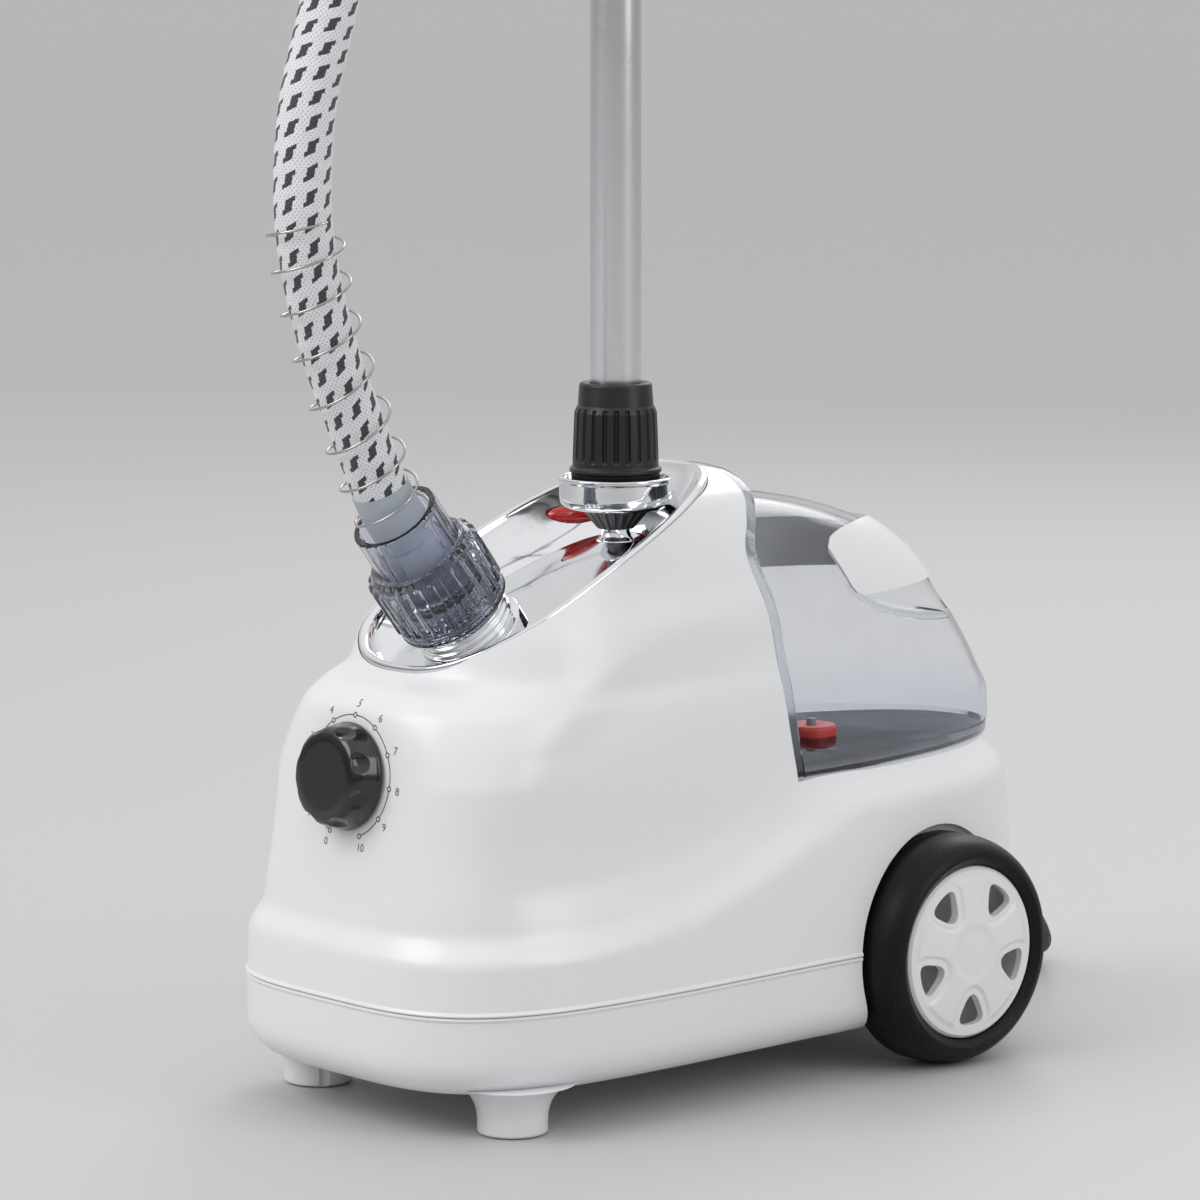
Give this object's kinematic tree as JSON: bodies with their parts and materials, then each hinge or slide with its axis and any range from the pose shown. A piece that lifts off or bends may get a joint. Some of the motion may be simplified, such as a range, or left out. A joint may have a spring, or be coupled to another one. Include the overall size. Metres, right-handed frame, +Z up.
{
  "type": "garment steamer",
  "caption": "Upright garment steamer: wheeled base with water tank, boiler and control knob, telescopic pole, hose and steam head on a folding clothes hanger.",
  "frame": {"origin": "on the floor under the middle of the body, on its symmetry plane", "axes": "+Z up; -Y is the nose with the control knob, +Y the tail with the tank and the mains lead; +X is to the left of someone who faces the nose; the wheels turn about X"},
  "size_m": [0.4268, 0.586, 1.472],
  "materials": {
    "shell_white": "satin moulded",
    "dish_chrome": "bright plated moulding",
    "lens_red": "clear moulded lens",
    "lamp_amber": "clear",
    "knob_black": "gloss",
    "plastic_black": "fine-grained",
    "chrome": "polished plating",
    "tube_steel": "brushed",
    "steel": "bright zinc",
    "clear_blue": "tinted clear moulding",
    "rubber": "matte",
    "cuff_grey": "satin",
    "hose_white": "woven sleeve over a soft tube",
    "cast_alloy": "die-cast",
    "plastic_grey": "fine-grained",
    "pipe_brass": "drawn",
    "silicone": "translucent silicone",
    "fuse_white": "ceramic",
    "valve_red": "gloss",
    "tyre_black": "soft moulded",
    "cord_black": "satin"
  },
  "bodies": {
    "base": {"base_pan": "shell_white", "foot_pads": "rubber", "upper_housing": "shell_white", "dish": "dish_chrome", "lamp_lens": "lens_red", "pilot_lamp": "lamp_amber", "rotary_switch": "plastic_black", "base_screws": "steel", "pole_cup": "chrome", "socket_cone": "plastic_black", "pole_collet": "plastic_black", "pole_support": "plastic_grey", "pole_lower": "tube_steel", "pole_clamp": "plastic_black", "clamp_pin": "steel", "steam_outlet": "chrome", "hose_seal": "rubber", "hose_collar": "clear_blue", "hose_cuff": "cuff_grey", "bend_spring": "chrome", "steam_hose": "hose_white", "boiler_lower": "cast_alloy", "boiler_lid": "cast_alloy", "thermostat": "steel", "thermal_fuse": "fuse_white", "steam_pipe": "pipe_brass", "inlet_cup": "plastic_grey", "feed_tube": "silicone", "axle": "steel", "axle_brackets": "plastic_grey", "axle_clips": "steel", "mains_gland": "cord_black", "power_cord": "cord_black", "cord_coil": "cord_black", "power_plug": "cord_black"},
    "knob": {"control_knob": "knob_black", "switch_shaft": "steel"},
    "pole_nut": {"pole_lock_nut": "plastic_black"},
    "hose_nut": {"hose_nut": "clear_blue"},
    "lever": {"clamp_lever": "plastic_black"},
    "upper_pole": {"pole_upper": "tube_steel", "head_cradle": "plastic_black", "steam_head": "shell_white", "steam_plate": "steel", "hanger_hub": "plastic_black", "hanger_pins": "steel"},
    "trigger": {"steam_trigger": "plastic_grey"},
    "arm_left": {"hanger_arm_left": "plastic_black"},
    "arm_right": {"hanger_arm_right": "plastic_black"},
    "tank": {"water_tank": "clear_blue", "tank_handle": "shell_white", "tank_valve_cap": "valve_red", "valve_spring": "steel"},
    "plunger": {"valve_plunger": "plastic_grey"},
    "wheel_left": {"wheel_hub_left": "shell_white", "tyre_left": "tyre_black", "hub_cap_left": "shell_white"},
    "wheel_right": {"wheel_hub_right": "shell_white", "tyre_right": "tyre_black", "hub_cap_right": "shell_white"}
  },
  "joints": [
    {"name": "knob_turn", "type": "hinge", "parent": "base", "child": "knob", "pos_m": [0, -0.206, 0.1725], "axis": [0, -0.9925, 0.1219], "range_deg": [0, 317]},
    {"name": "wheel_left_spin", "type": "hinge", "parent": "base", "child": "wheel_left", "pos_m": [0, 0.1075, 0.06], "axis": [1, 0, 0], "continuous": true},
    {"name": "wheel_right_spin", "type": "hinge", "parent": "base", "child": "wheel_right", "pos_m": [0, 0.1075, 0.06], "axis": [1, 0, 0], "continuous": true},
    {"name": "pole_nut_turn", "type": "hinge", "parent": "base", "child": "pole_nut", "pos_m": [0, -0.03, 0.33], "axis": [0, 0, 1], "range_deg": [0, 270]},
    {"name": "hose_nut_turn", "type": "hinge", "parent": "base", "child": "hose_nut", "pos_m": [0, -0.126, 0.23412], "axis": [0, -0.6157, 0.788], "range_deg": [0, 360]},
    {"name": "pole_slide", "type": "slide", "parent": "base", "child": "upper_pole", "axis": [0, 0, 1], "range_m": [-0.375, 0], "deforming": ["steam_hose"]},
    {"name": "clamp_lever_flip", "type": "hinge", "parent": "base", "child": "lever", "pos_m": [0, -0.005, 0.844], "axis": [0, 0, 1], "range_deg": [0, 100]},
    {"name": "hanger_arm_left_fold", "type": "hinge", "parent": "upper_pole", "child": "arm_left", "pos_m": [-0.02, -0.03, 1.452], "axis": [0, 1, 0], "range_deg": [0, 85]},
    {"name": "hanger_arm_right_fold", "type": "hinge", "parent": "upper_pole", "child": "arm_right", "pos_m": [0.02, -0.03, 1.452], "axis": [0, -1, 0], "range_deg": [0, 85]},
    {"name": "trigger_press", "type": "slide", "parent": "upper_pole", "child": "trigger", "axis": [0, 1, 0], "range_m": [0, 0.004], "stiffness_N_per_m": 400, "springref_m": -0.004},
    {"name": "tank_lift", "type": "slide", "parent": "base", "child": "tank", "axis": [0, 0.5736, 0.8191], "range_m": [0, 0.16]},
    {"name": "valve_press", "type": "slide", "parent": "tank", "child": "plunger", "axis": [0, 0, 1], "range_m": [0, 0.004], "stiffness_N_per_m": 150, "springref_m": -0.004, "deforming": ["valve_spring"]}
  ]
}
